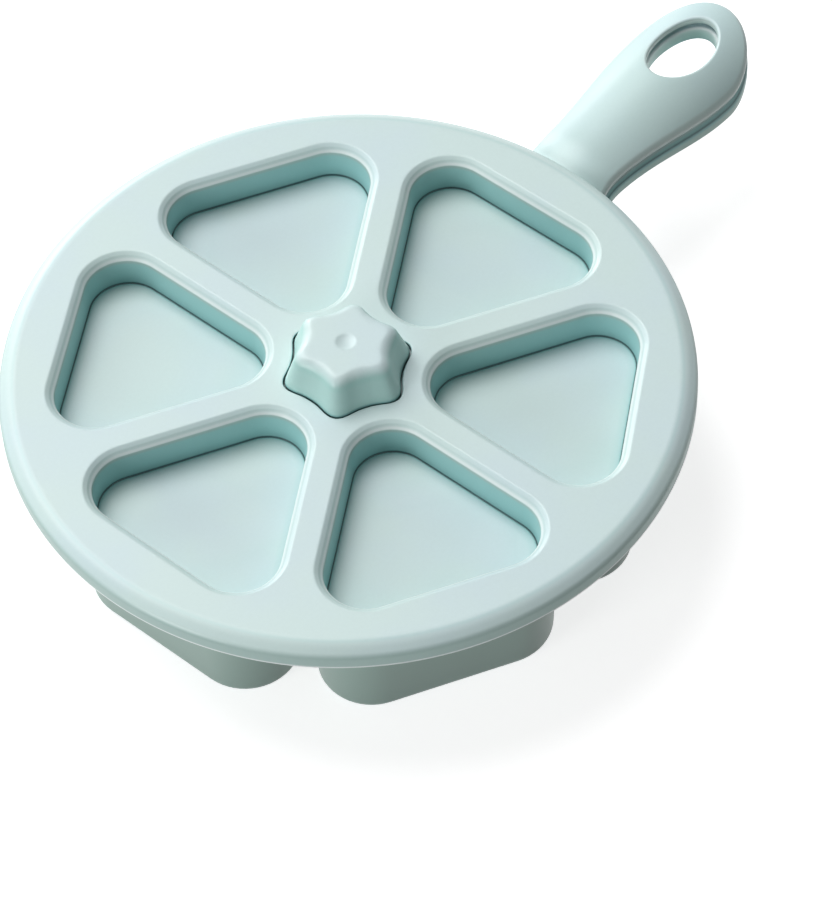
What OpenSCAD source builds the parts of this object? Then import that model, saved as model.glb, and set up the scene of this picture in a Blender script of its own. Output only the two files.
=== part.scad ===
// Press mold for six triangular rice cakes, in two mouldings that stack.
// The mold tray has six cups and a hollow star boss. The press lid drops over
// the boss and pushes a plunger into each cup. Both have a handle on the same side.
// Millimetres, +Z up, +X towards the handles. The origin lies under the middle
// of the whole outline, on the plane that the cups stand on.

/* [Press lid] */
// Diameter of the lid
lid_d = 205; // [185:1:225]
// Height of the lid's flat top above the table
stack_h = 47; // [42:1:58]
// Depth of the lid's turned-down rim, below its flat top
skirt_h = 7.5; // [6.5:0.5:9]
// Width of the sloping band around the rim
bevel_w = 3.6; // [2.8:0.2:4.4]
// Height of that band
bevel_h = 2.5; // [1.8:0.1:3.2]
// Thickness of the moulded walls
wall = 2.2; // [1.8:0.1:2.6]

/* [Pockets and plungers] */
// Width of the land between a pocket's outer side and the lid's edge
rim_land = 18.9; // [15:0.1:24]
// Width of the web between two pockets
web_w = 12.2; // [11:0.1:15]
// Radius of a pocket's corners
pocket_rc = 12.5; // [10:0.5:14.5]
// Depth of a pocket, down to its floor
pocket_h = 11.4; // [8:0.2:15]
// Width of the rounding around a pocket's mouth
mouth_w = 3; // [1:0.1:3.4]
// Draft of a plunger's walls, in degrees
plunger_draft = 5; // [1:0.5:7]
// Rounding around the face that presses the rice
press_r = 1.5; // [0.5:0.1:2]

/* [Cups] */
// Free space between a plunger and its cup
press_gap = 0.6; // [0.3:0.1:0.9]
// Draft of a cup's walls, in degrees
cup_draft = 2; // [1:0.5:4]
// Rounding around a cup's foot
foot_r = 3.5; // [2:0.5:5]

/* [Star boss] */
// Mean radius of the star where it passes through the lid
star_r = 17.4; // [15.5:0.1:18]
// How far its lobes stand out from that radius, and its waists in
star_wave = 1.55; // [0.8:0.05:1.8]
// How much its lobes are pointed and its sides straight
star_point = 0.2; // [0:0.05:0.4]
// Height of the boss above the lid's flat top
boss_h = 11.2; // [8:0.1:14]
// Draft of its sides, in degrees
boss_draft = 19; // [12:1:24]
// Rounding around its flat top
boss_edge = 2.2; // [0.8:0.1:3]
// Free space around it in the lid
star_gap = 0.6; // [0.4:0.1:1.2]
// Width of the moulding gate's dimple
dimple_d = 5.9; // [4:0.1:7]

/* [Handles] */
// How far the handles reach beyond the lid
handle_l = 81; // [74:1:95]
// Width of the lid's handle at the neck
neck_w = 27.8; // [24:0.2:31]
// Width of the lid's handle at the paddle
paddle_w = 38.7; // [34:0.1:42]
// Length of the paddle's rounded end
paddle_end = 23; // [20:0.5:28]
// Radius of the crown across a handle
crown_r = 24.5; // [23:0.5:40]
// Height of the crown above the lid's flat top, at the paddle
crown_h = 2.4; // [0:0.1:4]
// Height of the crown above the lid's flat top, at the neck
neck_h = 0.1; // [-1:0.1:2]
// Further drop of the crown where it joins the lid
root_drop = 2.3; // [1.5:0.1:4]
// Drop of the crown at the tip
tip_drop = 0.4; // [0:0.1:3]
// Thickness of the lid's handle
shell_t = 2.6; // [2:0.1:3]
// Step from the lid's handle down to the tray's handle
handle_step = 4.5; // [3.6:0.1:6]
// Thickness of the tray's handle under its crown
grip_t = 3.4; // [2.6:0.1:5]
// How much thicker it is at the paddle's edges
grip_edge = 0.8; // [0:0.1:2]
// How far it stands out beyond the lid's handle, on each side
grip_out = 0.5; // [0:0.1:1.5]
// Length of the hole for hanging
hole_l = 27.7; // [22:0.2:30]
// Width of that hole
hole_w = 18; // [14:0.2:20]

/* [Hidden] */

// How many pockets, corners on a pocket and lobes on the star
pockets = 6;
corners = 3;
lobes = 6;
pocket_turn = 360 / pockets;
corner_turn = 360 / corners;
lobe_turn = 360 / lobes;

// Facets: full turns, a triangle's corner, a star's lobe, and small roundings
turn_n = 180;
corner_n = 8;
lobe_n = 10;
round_n = 4;
mouth_n = 5;
cut = 1;               // how far a cutting solid runs past a face

// The pockets stand in a ring of equal steps, each with its apex to the centre.
// They share out the room that the land and the webs leave.
lid_r = lid_d / 2;
pocket_a = (lid_r - rim_land - web_w) / 3;   // from a pocket's middle to its sides
pocket_d = 2 * pocket_a + web_w;             // from the centre to a pocket's middle

// Heights
seat_z = stack_h - wall;               // the lid rests on the deck here
deck_z = seat_z - wall;                // underside of the deck
press_z = stack_h - pocket_h - wall;   // the face that presses the rice
boss_z = stack_h + boss_h;

// The tray inside the lid's rim
rim_gap = 0.6;
lip_gap = 0.5;                         // under the lid's rim
lip_t = 2;
mouth_h = wall - 0.1;                  // the mouth's rounding ends above the plate's underside
deck_r = lid_r - wall - rim_gap;
lip_z = stack_h - skirt_h - lip_gap;
deck_edge = 0.8;

// Rounding of the lid's rim
band_top_r = 6;
band_low_r = 2.5;
skirt_edge = 0.6;

// Handle stations along X, from the lid's axis
neck_gap = 6;
hole_from_tip = 22.3;
tip_x = lid_r + handle_l;
paddle_x = tip_x - paddle_end;
neck_x = lid_r + neck_gap;
hole_x = tip_x - hole_from_tip;
root_flare = 0.75;
rise_l = 10;                           // the crown climbs from the rim over this length
plane_slope = 0.6;                     // climb of the planed face past the lid's rim
neck_steps = 10;
end_steps = 8;
end_angle = 86;                        // the rounded end stops here, short of a point
arch_n = 12;

// The lid's axis, from the middle of the whole outline
axis_x = -handle_l / 2;

// ---- Outlines ----

// Points on an arc around c, from angle a0 to a1
function arc(c, r, a0, a1, n) =
    [for (i = [0:n]) c + r * [cos(a0 + (a1 - a0) * i / n), sin(a0 + (a1 - a0) * i / n)]];

// The corner q between p and s, rounded to radius r
function rounded(p, q, s, r, n) =
    let (
        u = (p - q) / norm(p - q),
        v = (s - q) / norm(s - q),
        half = acos(u * v) / 2,
        mid = (u + v) / norm(u + v),
        c = q + mid * r / sin(half),
        a0 = atan2((q + u * r / tan(half) - c)[1], (q + u * r / tan(half) - c)[0]),
        a1 = atan2((q + v * r / tan(half) - c)[1], (q + v * r / tan(half) - c)[0]),
        turn = a1 - a0 > 180 ? a1 - a0 - 360 : a1 - a0 < -180 ? a1 - a0 + 360 : a1 - a0
    )
    arc(c, r, a0, a0 + turn, n);

// A pocket's rounded triangle, its apex towards -X, grown by off on every side
function tri(off) =
    [for (k = [0:corners - 1])
        let (c = corner_turn * (k + 0.5), mid = 2 * (pocket_a - pocket_rc) * [cos(c), sin(c)])
        each arc(mid, pocket_rc + off, c - corner_turn / 2, c + corner_turn / 2, corner_n)];

// The six-lobed star, with its waists towards the pockets
function star(r, wave) =
    [for (i = [0:lobes * lobe_n - 1])
        let (t = lobe_turn * i / lobe_n)
        (r + wave * cos(lobes * (t - lobe_turn / 2)) + star_point * cos(2 * lobes * (t - lobe_turn / 2)))
        * [cos(t), sin(t)]];

function oval(l, w, n) = [for (i = [0:n - 1]) [l / 2 * cos(360 * i / n), w / 2 * sin(360 * i / n)]];

function at_z(outline, z) = [for (p = outline) [p[0], p[1], z]];

// ---- Solids through a row of outlines ----

// Every outline has as many points as the first. The ends are flat.
module loft(rings) {
    n = len(rings[0]);
    m = len(rings);
    polyhedron(
        points = [for (ring = rings) each ring],
        faces = concat(
            [[for (i = [0:n - 1]) i]],
            [for (j = [0:m - 2], i = [0:n - 1])
                let (a = j * n + i, b = j * n + (i + 1) % n)
                each [[a, a + n, b + n], [a, b + n, b]]],
            [[for (i = [n - 1:-1:0]) (m - 1) * n + i]]
        )
    );
}

module on_axis() {
    translate([axis_x, 0, 0]) children();
}

module at_pocket(i) {
    on_axis() rotate(pocket_turn * (i - 1)) translate([pocket_d, 0, 0]) children();
}

// ---- Growth of the walls with height, against the pocket's outline ----

function plunger_in(z) = -(seat_z - z) * tan(plunger_draft);
function plunger_out(z) = wall + plunger_in(z);
function cup_in(z) = wall + press_gap - (seat_z - z) * tan(cup_draft);
function cup_out(z) = wall + cup_in(z);

// ---- Press lid ----

module lid_profile() {
    top = [lid_r - bevel_w, stack_h];
    low = [lid_r, stack_h - bevel_h];
    foot = [lid_r, stack_h - skirt_h];
    polygon(concat(
        [[0, seat_z], [lid_r - wall, seat_z], [lid_r - wall, foot[1]]],
        rounded([lid_r - wall, foot[1]], foot, low, skirt_edge, round_n),
        rounded(foot, low, top, band_low_r, round_n),
        rounded(low, top, [0, stack_h], band_top_r, round_n),
        [[0, stack_h]]
    ));
}

// The pocket's mouth, rounded into the lid's flat top over the plate's thickness
module mouth() {
    roll = [for (p = arc([1, 0], 1, 180, 90, mouth_n)) [mouth_w * p[0], mouth_h * p[1]]];
    loft(concat(
        [at_z(tri(0), seat_z - cut)],
        [for (p = roll) at_z(tri(p[0]), stack_h - mouth_h + p[1])],
        [at_z(tri(mouth_w), stack_h + cut)]
    ));
}

module lid_plate() {
    color("#c8dddc")
    difference() {
        on_axis() rotate_extrude($fn = turn_n) lid_profile();
        for (i = [1:pockets]) at_pocket(i) mouth();
        on_axis() translate([0, 0, seat_z - cut])
            linear_extrude(wall + 2 * cut) polygon(star(star_r + star_gap, star_wave));
    }
}

// Open above, with the pressing face below
module plunger(i) {
    color("#bfd7d6")
    at_pocket(i) loft(concat(
        [for (p = arc([-press_r, press_z + press_r], press_r, -90, 0, round_n))
            at_z(tri(plunger_out(p[1]) + p[0]), p[1])],
        [at_z(tri(plunger_out(seat_z)), seat_z)],
        [at_z(tri(plunger_in(seat_z)), seat_z)],
        [at_z(tri(plunger_in(stack_h - pocket_h)), stack_h - pocket_h)]
    ));
}

// ---- Handles ----

// From 0 at the neck to 1 at the paddle, with soft ends
function swell(x) = (1 - cos(180 * max(0, min(1, (x - neck_x) / (paddle_x - neck_x))))) / 2;

// The last station lies on the tip itself
end_a = paddle_end / sin(end_angle);

// Half a handle's width at a station, standing out by out beyond the lid's handle
function half_w(x, out = 0) =
    (neck_w / 2 + out + root_flare * pow(max(0, neck_x - x) / (neck_x - lid_r), 2)
        + (paddle_w - neck_w) / 2 * swell(x))
    * sqrt(max(0, 1 - pow(max(0, x - paddle_x) / end_a, 2)));

// Height of the crown line, and of the crowned surface
function crown(x) =
    stack_h + neck_h + (crown_h - neck_h) * swell(x)
    - root_drop * pow(max(0, 1 - (x - lid_r) / rise_l), 2)
    - tip_drop * pow(max(0, (x - paddle_x) / paddle_end), 2);
function crowned(x, y) = crown(x) - crown_r + sqrt(crown_r * crown_r - y * y);

// The tray's handle is planed flat to pass under the lid's rim
function grip_top(x, y) =
    min(crowned(x, y) - handle_step, lip_z + max(0, x - lid_r - 1) * plane_slope);
function grip_low(x, y) = grip_top(x, y) - grip_t - grip_edge * pow(2 * y / paddle_w, 2);

function stations(x0) = concat(
    [for (i = [0:neck_steps]) x0 + (paddle_x - x0) * i / neck_steps],
    [for (i = [1:end_steps]) paddle_x + end_a * sin(end_angle * i / end_steps)]
);

// One section of a handle: its underside one way, its top back again
function lid_section(x) = concat(
    [for (i = [0:arch_n]) let (y = half_w(x) * (2 * i / arch_n - 1)) [x, y, crowned(x, y) - shell_t]],
    [for (i = [0:arch_n]) let (y = half_w(x) * (1 - 2 * i / arch_n)) [x, y, crowned(x, y)]]
);
function grip_section(x) = concat(
    [for (i = [0:arch_n]) let (y = half_w(x, grip_out) * (2 * i / arch_n - 1)) [x, y, grip_low(x, y)]],
    [for (i = [0:arch_n]) let (y = half_w(x, grip_out) * (1 - 2 * i / arch_n)) [x, y, grip_top(x, y)]]
);

// Cuts the hole through both handles
module hang_hole() {
    translate([hole_x, 0, stack_h / 4])
        linear_extrude(stack_h) polygon(oval(hole_l, hole_w, 48));
}

module lid_handle() {
    color("#c8dddc")
    on_axis() difference() {
        loft([for (x = stations(lid_r - 2)) lid_section(x)]);
        translate([0, 0, stack_h / 2]) cylinder(r = lid_r, h = stack_h, $fn = turn_n);
        hang_hole();
    }
}

// The deck's lip runs lower across the handle, which ends against it
module root_wall() {
    low_z = grip_low(lid_r, half_w(lid_r));
    half_angle = asin(half_w(lid_r) / deck_r);
    rotate(-half_angle) rotate_extrude(angle = 2 * half_angle, $fn = turn_n)
        translate([deck_r - lip_t - cut, low_z]) square([lip_t + cut, lip_z - low_z]);
}

module mold_handle() {
    color("#bfd7d6")
    on_axis() difference() {
        union() {
            loft([for (x = stations(deck_r - lip_t - 2)) grip_section(x)]);
            root_wall();
        }
        translate([0, 0, stack_h / 2]) cylinder(r = deck_r - lip_t, h = stack_h, $fn = turn_n);
        hang_hole();
    }
}

// ---- Mold tray ----

module deck_profile() {
    rim = [deck_r, seat_z];
    polygon(concat(
        [[0, deck_z], [deck_r - lip_t, deck_z], [deck_r - lip_t, lip_z], [deck_r, lip_z]],
        rounded([deck_r, lip_z], rim, [0, seat_z], deck_edge, round_n),
        [[0, seat_z]]
    ));
}

module mold_deck() {
    color("#bfd7d6")
    difference() {
        on_axis() rotate_extrude($fn = turn_n) deck_profile();
        for (i = [1:pockets]) at_pocket(i) loft([
            at_z(tri(cup_in(deck_z - cut)), deck_z - cut),
            at_z(tri(cup_in(seat_z + cut)), seat_z + cut)
        ]);
        on_axis() translate([0, 0, deck_z - cut])
            linear_extrude(wall + 2 * cut) polygon(star(star_r - wall, star_wave));
    }
}

// A cup hangs under the deck and stands on the table
module cup(i) {
    color("#b4ccca")
    at_pocket(i) loft(concat(
        [for (p = arc([-foot_r, foot_r], foot_r, -90, 0, round_n))
            at_z(tri(cup_out(p[1]) + p[0]), p[1])],
        [at_z(tri(cup_out(deck_z)), deck_z)],
        [at_z(tri(cup_in(deck_z)), deck_z)],
        [for (p = arc([-foot_r / 2, wall + foot_r / 2], foot_r / 2, 0, -90, round_n))
            at_z(tri(cup_in(p[1]) + p[0]), p[1])]
    ));
}

// Radius and wave of the boss at a height, upright in the lid and drafted above it
function boss_r(z) = star_r - max(0, z - stack_h) * tan(boss_draft);
function boss_ring(z, inset) =
    at_z(star(boss_r(z) - inset, star_wave * boss_r(z) / star_r), z);

// Hollow from below, on the deck
module star_boss() {
    dimple_h = 0.6;
    dimple_r = (dimple_d * dimple_d / 4 + dimple_h * dimple_h) / (2 * dimple_h);
    color("#c8dddc")
    on_axis() difference() {
        loft(concat(
            [boss_ring(boss_z - wall, wall)],
            [boss_ring(stack_h, wall)],
            [boss_ring(seat_z, wall)],
            [boss_ring(seat_z, 0)],
            [boss_ring(stack_h, 0)],
            [for (p = arc([boss_edge, boss_z - boss_edge], boss_edge, 180, 90, round_n)) boss_ring(p[1], p[0])]
        ));
        translate([0, 0, boss_z - dimple_h + dimple_r]) sphere(r = dimple_r, $fn = 48);
    }
}

lid_plate();
lid_handle();
plunger(1);  // plunger_1
plunger(2);  // plunger_2
plunger(3);  // plunger_3
plunger(4);  // plunger_4
plunger(5);  // plunger_5
plunger(6);  // plunger_6
mold_deck();
star_boss();
mold_handle();
cup(1);  // cup_1
cup(2);  // cup_2
cup(3);  // cup_3
cup(4);  // cup_4
cup(5);  // cup_5
cup(6);  // cup_6
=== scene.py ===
"""Looks of a press mold for six triangular rice cakes.

Two satin plastic mouldings stack: a tray with six deep cups and a star boss, and
a press lid with six plungers that drops over the boss. Each piece is a rounded
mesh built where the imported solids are, in metres, and rides on its own moulding.
"""
import logging
import math
from dataclasses import dataclass, field, replace
from enum import Enum
from functools import cached_property
from typing import Any, Callable, ClassVar, Dict, List, Optional, Sequence, Tuple, Union

import bmesh
import bpy
import numpy as np
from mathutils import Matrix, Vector
from mathutils.geometry import delaunay_2d_cdt

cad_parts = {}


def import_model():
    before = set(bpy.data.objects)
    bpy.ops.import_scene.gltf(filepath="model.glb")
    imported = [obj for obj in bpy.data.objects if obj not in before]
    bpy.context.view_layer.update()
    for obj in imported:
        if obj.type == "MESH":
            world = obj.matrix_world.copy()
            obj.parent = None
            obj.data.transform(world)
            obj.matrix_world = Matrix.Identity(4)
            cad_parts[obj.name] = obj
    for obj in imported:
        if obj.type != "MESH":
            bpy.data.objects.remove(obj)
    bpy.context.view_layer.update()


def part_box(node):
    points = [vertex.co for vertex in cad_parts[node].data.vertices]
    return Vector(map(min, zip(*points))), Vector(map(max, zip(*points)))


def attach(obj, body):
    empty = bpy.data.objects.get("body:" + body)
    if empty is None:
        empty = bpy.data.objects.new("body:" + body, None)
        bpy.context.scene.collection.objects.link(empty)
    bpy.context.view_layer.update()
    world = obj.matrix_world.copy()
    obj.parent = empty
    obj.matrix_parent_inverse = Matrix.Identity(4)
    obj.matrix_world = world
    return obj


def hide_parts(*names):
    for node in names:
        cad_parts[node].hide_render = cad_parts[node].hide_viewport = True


log = logging.getLogger("rice_mold")

MM = 0.001
POCKETS = 6
STEP_DEG = 60.0
LEAST_STEP = 0.02 * MM  # a section gets no extra point nearer than this to a corner
FINE_STEPS = 8  # the steps of a rounding that shows from close by

Colour = Tuple[float, float, float, float]
Loop = np.ndarray
Height = Callable[[np.ndarray, np.ndarray], np.ndarray]


class Moulding(Enum):
    """The two mouldings, by the name of the body that each one is."""

    LID = "press_lid"
    TRAY = "mold_tray"


# ---------------------------------------------------------------- shader graphs


class Sock:
    """A shader socket that takes part in Python expressions."""

    def __init__(self, graph: "Graph", socket: Any) -> None:
        """Wraps an output socket of graph."""
        self.graph = graph
        self.socket = socket

    def _math(self, operation: str, a: Any, b: Any) -> "Sock":
        """Adds one Math node for an operation on two values."""
        return self.graph.node("ShaderNodeMath", {"operation": operation}, {0: a, 1: b})

    def __add__(self, other: Any) -> "Sock":
        """self + other."""
        return self._math("ADD", self, other)

    __radd__ = __add__

    def __sub__(self, other: Any) -> "Sock":
        """self - other."""
        return self._math("SUBTRACT", self, other)

    def __rsub__(self, other: Any) -> "Sock":
        """other - self."""
        return self._math("SUBTRACT", other, self)

    def __mul__(self, other: Any) -> "Sock":
        """self * other."""
        return self._math("MULTIPLY", self, other)

    __rmul__ = __mul__


Value = Union[Sock, float, Sequence[float]]


class Graph:
    """Adds nodes to one material or world and links them.

    Attributes:
        NOISE_MIDDLE: the value that noise varies round.
        MIX_INPUTS: the numbers of a Mix node's two colour inputs.
        MIX_OUTPUT: the number of its colour output.
    """

    NOISE_MIDDLE = 0.5
    MIX_INPUTS = (6, 7)
    MIX_OUTPUT = 2

    def __init__(self, tree: bpy.types.NodeTree) -> None:
        """Starts from an empty tree."""
        self.tree = tree
        self.tree.nodes.clear()

    def node(
        self,
        kind: str,
        settings: Optional[Dict[str, Any]] = None,
        inputs: Optional[Dict[Any, Value]] = None,
        output: Any = 0,
    ) -> Sock:
        """Adds a node.

        Args:
            kind: the node's Blender type.
            settings: its properties, set first.
            inputs: values or links of its sockets, by name or number.
            output: the output to return, by name or number.

        Returns:
            The wrapped output, or the node itself where it has none.
        """
        made = self.tree.nodes.new(kind)
        for name, value in (settings or {}).items():
            setattr(made, name, value)
        for key, value in (inputs or {}).items():
            if isinstance(value, Sock):
                self.tree.links.new(value.socket, made.inputs[key])
            else:
                made.inputs[key].default_value = value
        return Sock(self, made.outputs[output]) if len(made.outputs) else made

    def noise(self, where: Sock, grain: float, detail: float) -> Sock:
        """Soft noise from 0 to 1 whose features are about grain metres across."""
        inputs = {"Vector": where, "Scale": 1.0 / grain, "Detail": detail, "Roughness": 0.5}
        return self.node("ShaderNodeTexNoise", None, inputs, "Fac")

    def blend(self, factor: Value, a: Value, b: Value) -> Sock:
        """Mixes two colours."""
        inputs = {0: factor, **dict(zip(self.MIX_INPUTS, (a, b)))}
        return self.node("ShaderNodeMix", {"data_type": "RGBA"}, inputs, self.MIX_OUTPUT)

    def unlit(self) -> Sock:
        """Tells rays that see the backdrop from rays that are lit by it.

        Returns:
            1 for rays that see it, straight or mirrored, and 0 for its light.
        """
        kinds = ("Is Camera Ray", "Is Glossy Ray", "Is Transmission Ray")
        seen = [self.node("ShaderNodeLightPath", output=kind) for kind in kinds]
        return seen[0] + seen[1] + seen[2]

    def ramp(self, value: Sock, low: float, high: float) -> Sock:
        """A smooth step.

        Args:
            value: what it depends on.
            low: the value up to which it is 0.
            high: the value from which it is 1.

        Returns:
            The step's height.
        """
        settings = {"interpolation_type": "SMOOTHSTEP"}
        inputs = {"Value": value, "From Min": low, "From Max": high}
        return self.node("ShaderNodeMapRange", settings, inputs)


# ---------------------------------------------------------------------- finishes


@dataclass(frozen=True)
class SatinPlastic:
    """Moulded satin polypropylene, paler on its flats than on its walls, whose darker colour is
    painted shade.

    Attributes:
        name: the material's name.
        slot: a slot name; not used.
        flat: its colour on level faces, which drifts softly towards flat_cool.
        steep: its colour on walls, darker as painted shade; towards the table it turns to low, darker
            painted shade.
        edge: the colour of painted highlight, where the tone is 1.
        deep: the teal of painted shade, where the tone is below 0, fully at -deep_tone.
        crease: the near black of painted shade, where the tone nears -1, from -crease_from.
        speck: how many grains wide the fine mottling is.
        peel: the width of the moulding's slight waves.
        cloud: the width of its broad mottling.
    """

    name: str
    slot: str
    flat: Colour = (0.620, 0.767, 0.752, 1.0)
    flat_cool: Colour = (0.610, 0.750, 0.774, 1.0)
    steep: Colour = (0.405, 0.565, 0.535, 1.0)
    low: Colour = (0.300, 0.430, 0.385, 1.0)
    edge: Colour = (0.830, 0.900, 0.900, 1.0)
    deep: Colour = (0.322, 0.605, 0.600, 1.0)
    crease: Colour = (0.030, 0.085, 0.090, 1.0)
    cool_from: float = 0.35
    cool_to: float = 0.70
    steep_from: float = 0.03
    steep_to: float = 0.75
    steep_drift: float = 0.08
    low_z: float = 24 * MM
    high_z: float = 40 * MM
    deep_tone: float = 0.5
    crease_from: float = 0.4
    shade: float = 0.975
    shade_speck: float = 0.035
    shade_cloud: float = 0.015
    roughness: float = 0.37
    rough_speck: float = 0.10
    rough_cloud: float = 0.05
    ior: float = 1.48
    grain: float = 0.35 * MM
    grain_depth: float = 0.010 * MM
    grain_strength: float = 0.5
    speck: float = 3.0
    peel: float = 7.0 * MM
    peel_depth: float = 0.020 * MM
    peel_strength: float = 0.35
    cloud: float = 38.0 * MM

    def material(self) -> bpy.types.Material:
        """Builds the material.

        Returns:
            A material whose colour, roughness and relief vary over the surface.
        """
        made = bpy.data.materials.new(self.name)
        made.use_nodes = True
        graph = Graph(made.node_tree)
        middle = graph.NOISE_MIDDLE
        where = graph.node("ShaderNodeTexCoord", output="Object")
        cloud = graph.noise(where, self.cloud, detail=3.0)
        speck = graph.noise(where, self.grain * self.speck, detail=1.0)
        shade = self.shade + self.shade_speck * speck + self.shade_cloud * cloud
        shaded = {0: self._tint(graph, where, cloud), "Scale": shade}
        looks = {
            "Base Color": graph.node("ShaderNodeVectorMath", {"operation": "SCALE"}, shaded),
            "Roughness": self.roughness
            + self.rough_speck * (speck - middle)
            + self.rough_cloud * (cloud - middle),
            "Normal": self._relief(graph, where),
            "IOR": self.ior,
        }
        shader = graph.node("ShaderNodeBsdfPrincipled", None, looks)
        graph.node("ShaderNodeOutputMaterial", None, {"Surface": shader})
        return made

    def _tint(self, graph: Graph, where: Sock, cloud: Sock) -> Sock:
        """The colour that a point's slope, height and tone give it: painted shade on walls and low
        down, and painted highlight and shade from the tone.

        Args:
            graph: the material's graph.
            where: the point.
            cloud: the broad mottling there.

        Returns:
            The colour.
        """
        height = graph.node("ShaderNodeSeparateXYZ", None, {"Vector": where}, "Z")
        facing = graph.node("ShaderNodeNewGeometry", output="Normal")
        up = graph.node("ShaderNodeSeparateXYZ", None, {"Vector": facing}, "Z")
        up = graph.node("ShaderNodeMath", {"operation": "ABSOLUTE"}, {0: up})
        slope = 1.0 - up + self.steep_drift * (cloud - graph.NOISE_MIDDLE)
        # walls take the darker steep colour: painted shade
        steep = graph.ramp(slope, self.steep_from, self.steep_to)
        flats = graph.blend(graph.ramp(cloud, self.cool_from, self.cool_to), self.flat, self.flat_cool)
        # towards the table the walls darken to low: painted shade under the lid
        walls = graph.blend(graph.ramp(height, self.low_z, self.high_z), self.low, self.steep)
        tint = graph.blend(steep, flats, walls)
        # the tone paints highlight above 0 and shade below 0
        tone = graph.node("ShaderNodeAttribute", {"attribute_name": Skin.TONE}, output="Fac")
        tint = graph.blend(graph.ramp(tone, 0.0, 1.0), tint, self.edge)
        tint = graph.blend(graph.ramp(0.0 - tone, 0.0, self.deep_tone), tint, self.deep)
        return graph.blend(graph.ramp(0.0 - tone, self.crease_from, 1.0), tint, self.crease)

    def _relief(self, graph: Graph, where: Sock) -> Sock:
        """The fine grain on top of the moulding's slight waves.

        Args:
            graph: the material's graph.
            where: the point.

        Returns:
            The surface's normal there.
        """
        peel = {"Strength": self.peel_strength, "Distance": self.peel_depth}
        peel["Height"] = graph.noise(where, self.peel, detail=1.0)
        grain = {"Strength": self.grain_strength, "Distance": self.grain_depth}
        grain["Height"] = graph.noise(where, self.grain, detail=1.0)
        grain["Normal"] = graph.node("ShaderNodeBump", None, peel)
        return graph.node("ShaderNodeBump", None, grain)


LID_PLASTIC = SatinPlastic("lid_satin_plastic", "lid_plastic")
# the tray's wall colour: its painted shade, paler and bluer than the lid's
TRAY_STEEP: Colour = (0.440, 0.690, 0.650, 1.0)
TRAY_PLASTIC = SatinPlastic("tray_satin_plastic", "tray_plastic", steep=TRAY_STEEP)


# ---------------------------------------------------------------------- outlines


def arc(centre: Sequence[float], radius: float, start: float, end: float, steps: int) -> Loop:
    """Points on an arc.

    Args:
        centre: the arc's centre.
        radius: its radius.
        start: the angle of its first point, in degrees.
        end: the angle of its last point.
        steps: how many steps lie between them.

    Returns:
        An array of steps + 1 points.
    """
    angle = np.radians(np.linspace(start, end, steps + 1))
    return np.array(centre) + radius * np.stack([np.cos(angle), np.sin(angle)], 1)


def rounded_corner(before: Loop, corner: Loop, after: Loop, radius: float, steps: int) -> Loop:
    """The corner between two straight runs, as an arc.

    Args:
        before: a point on the run that comes in.
        corner: where the runs would meet.
        after: a point on the run that goes out.
        radius: the rounding.
        steps: how many steps the arc has.

    Returns:
        The arc's points.
    """
    into = (before - corner) / np.linalg.norm(before - corner)
    out = (after - corner) / np.linalg.norm(after - corner)
    half = math.acos(float(into @ out)) / 2
    middle = (into + out) / np.linalg.norm(into + out)
    centre = corner + middle * radius / math.sin(half)
    first = corner + into * radius / math.tan(half) - centre
    last = corner + out * radius / math.tan(half) - centre
    start = math.degrees(math.atan2(first[1], first[0]))
    turn = math.degrees(math.atan2(last[1], last[0])) - start
    turn = (turn + 180.0) % 360.0 - 180.0
    return arc(centre, radius, start, start + turn, steps)


def profile(points: Sequence[Sequence[float]], radii: Sequence[float], steps: int = 6) -> Loop:
    """A section's line through points, with its corners rounded.

    Args:
        points: the corners, as across and up.
        radii: each corner's rounding, or 0 to keep it sharp.
        steps: how many steps a rounding has.

    Returns:
        The points of the line.
    """
    corners = [np.array(point, float) for point in points]
    line: List[Loop] = []
    for i, corner in enumerate(corners):
        if radii[i] > 0:
            line.extend(rounded_corner(corners[i - 1], corner, corners[i + 1], radii[i], steps))
        else:
            line.append(corner)
    return np.array(line)


@dataclass(frozen=True)
class PaintedBand:
    """A band of painted light along a piece: a painted highlight on a crisp edge, painted shade on a
    wall or in a crease.

    Attributes:
        across: how far out its middle line lies in the section.
        up: how high it lies.
        depth: the tone that it paints there, above 0 a painted highlight, below 0 painted shade.
        width: how far off the tone has faded to a third.
        tall: how long its middle line is, upright and centred.
        NEAR: how many widths off a run's end still counts as near.
        STOPS: how many points a run gets from such an end, STOPS_PER_WIDTH to a width.
        DECIMALS: how finely those points are told apart.
    """

    NEAR: ClassVar[float] = 1.5
    STOPS: ClassVar[int] = 7
    STOPS_PER_WIDTH: ClassVar[int] = 3
    DECIMALS: ClassVar[int] = 7

    across: float
    up: float
    depth: float
    width: float
    tall: float = 0.0

    def at(self, across: float, up: float) -> "PaintedBand":
        """The same band, measured from a point of the section."""
        return replace(self, across=across + self.across, up=up + self.up)

    def far(self, points: Loop) -> np.ndarray:
        """How far points of a section lie from the band's middle line."""
        up = np.maximum(0.0, np.abs(points[:, 1] - self.up) - self.tall / 2)
        return np.hypot(points[:, 0] - self.across, up)

    def stops(self, start: Loop, end: Loop) -> List[float]:
        """Where a straight run needs more points to show the band.

        Args:
            start: the run's first point.
            end: its last point.

        Returns:
            Distances from the start, counted from each end that lies near the band.
        """
        length = float(np.linalg.norm(end - start))
        steps = [self.width * k / self.STOPS_PER_WIDTH for k in range(1, self.STOPS + 1)]
        stops: List[float] = []
        if self.far(start[None])[0] < self.NEAR * self.width:
            stops += steps
        if self.far(end[None])[0] < self.NEAR * self.width:
            stops += [length - step for step in steps]
        return [round(stop, self.DECIMALS) for stop in stops]


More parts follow.
